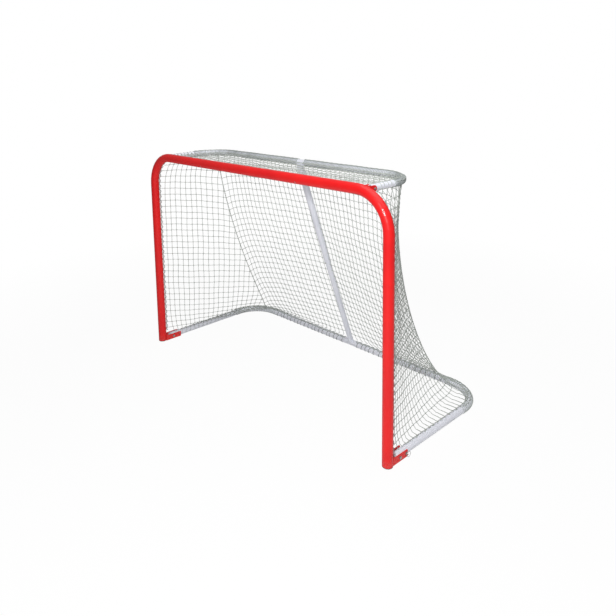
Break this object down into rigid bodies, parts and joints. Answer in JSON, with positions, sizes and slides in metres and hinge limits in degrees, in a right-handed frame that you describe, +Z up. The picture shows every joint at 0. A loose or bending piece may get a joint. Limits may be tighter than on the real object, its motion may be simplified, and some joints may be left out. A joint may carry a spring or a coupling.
{
  "type": "folding street hockey goal",
  "caption": "Folding steel street hockey goal: round-cornered front frame, base and top frames, telescopic centre stay, net panels and ring pull pins.",
  "frame": {"origin": "centre of the footprint's bounding box, on the floor", "axes": "+X to the right along the crossbar, +Y from the mouth to the back, +Z up"},
  "size_m": [1.941, 0.8744, 1.27],
  "materials": {
    "red_paint": "glossy red powder coat",
    "white_paint": "glossy cool white powder coat",
    "black_plastic": "moulded, satin",
    "white_plastic": "moulded, satin",
    "zinc_plate": "zinc plated, dull",
    "white_net": "braided polyester cord"
  },
  "bodies": {
    "front_frame": {"left_lower_post": "red_paint", "left_upper_frame": "red_paint", "left_foot_bracket": "red_paint", "left_top_lug": "red_paint", "left_post_sleeve": "zinc_plate", "left_crossbar_rivet": "zinc_plate", "left_post_rivet_lower": "zinc_plate", "left_post_rivet_upper": "zinc_plate", "left_top_hinge_bolt": "zinc_plate", "left_pivot_bolt": "zinc_plate", "left_foot_plug": "black_plastic", "net_left": "white_net", "right_lower_post": "red_paint", "right_upper_frame": "red_paint", "right_foot_bracket": "red_paint", "right_top_lug": "red_paint", "right_post_sleeve": "zinc_plate", "right_crossbar_rivet": "zinc_plate", "right_post_rivet_lower": "zinc_plate", "right_post_rivet_upper": "zinc_plate", "right_top_hinge_bolt": "zinc_plate", "right_pivot_bolt": "zinc_plate", "right_foot_plug": "black_plastic", "net_right": "white_net", "crossbar_sleeve": "zinc_plate", "net_back": "white_net", "net_top": "white_net"},
    "base_frame": {"base_left_tube": "white_paint", "base_left_end_plug": "white_plastic", "base_right_tube": "white_paint", "base_right_end_plug": "white_plastic", "base_rear_sleeve": "zinc_plate"},
    "top_frame": {"top_left_tube": "white_paint", "top_right_tube": "white_paint", "top_rear_sleeve": "zinc_plate"},
    "stay_lower": {"stay_foot_barrel": "white_paint", "stay_lower_tube": "white_paint"},
    "stay_upper": {"stay_upper_tube": "white_paint", "stay_collar": "white_paint", "stay_head": "white_paint"},
    "left_pin": {"left_pull_pin": "zinc_plate"},
    "right_pin": {"right_pull_pin": "zinc_plate"},
    "left_ring": {"left_pull_ring": "zinc_plate"},
    "right_ring": {"right_pull_ring": "zinc_plate"}
  },
  "joints": [
    {"name": "base_fold", "type": "hinge", "parent": "front_frame", "child": "base_frame", "pos_m": [0, -0.3438, 0.019], "axis": [1, 0, 0], "range_deg": [0, 90], "deforming": ["net_left", "net_right", "net_back", "net_top"]},
    {"name": "top_fold", "type": "hinge", "parent": "front_frame", "child": "top_frame", "pos_m": [0, -0.3598, 1.2446], "axis": [1, 0, 0], "range_deg": [-90, 0]},
    {"name": "stay_fold", "type": "hinge", "parent": "base_frame", "child": "stay_lower", "pos_m": [0, 0.4182, 0.019], "axis": [1, 0, 0], "range_deg": [0, 62]},
    {"name": "stay_slide", "type": "slide", "parent": "stay_lower", "child": "stay_upper", "axis": [0, 0.3426, -0.9395], "range_m": [0, 0.5267]},
    {"name": "left_pin_pull", "type": "slide", "parent": "front_frame", "child": "left_pin", "axis": [-1, 0, 0], "range_m": [0, 0.03]},
    {"name": "left_ring_swing", "type": "hinge", "parent": "left_pin", "child": "left_ring", "pos_m": [-0.966, -0.2988, 0.019], "axis": [0, 0.416, 0.9094], "range_deg": [0, 90]},
    {"name": "right_pin_pull", "type": "slide", "parent": "front_frame", "child": "right_pin", "axis": [1, 0, 0], "range_m": [0, 0.03]},
    {"name": "right_ring_swing", "type": "hinge", "parent": "right_pin", "child": "right_ring", "pos_m": [0.966, -0.2988, 0.019], "axis": [0, -0.416, -0.9094], "range_deg": [0, 90]}
  ],
  "couplings": [
    {"joint": "top_fold", "follows": "base_fold", "ratio": -1},
    {"joint": "stay_fold", "follows": "base_fold", "ratio": 0.68889},
    {"joint": "stay_slide", "follows": "base_fold", "m_per_rad": 0.3353}
  ]
}
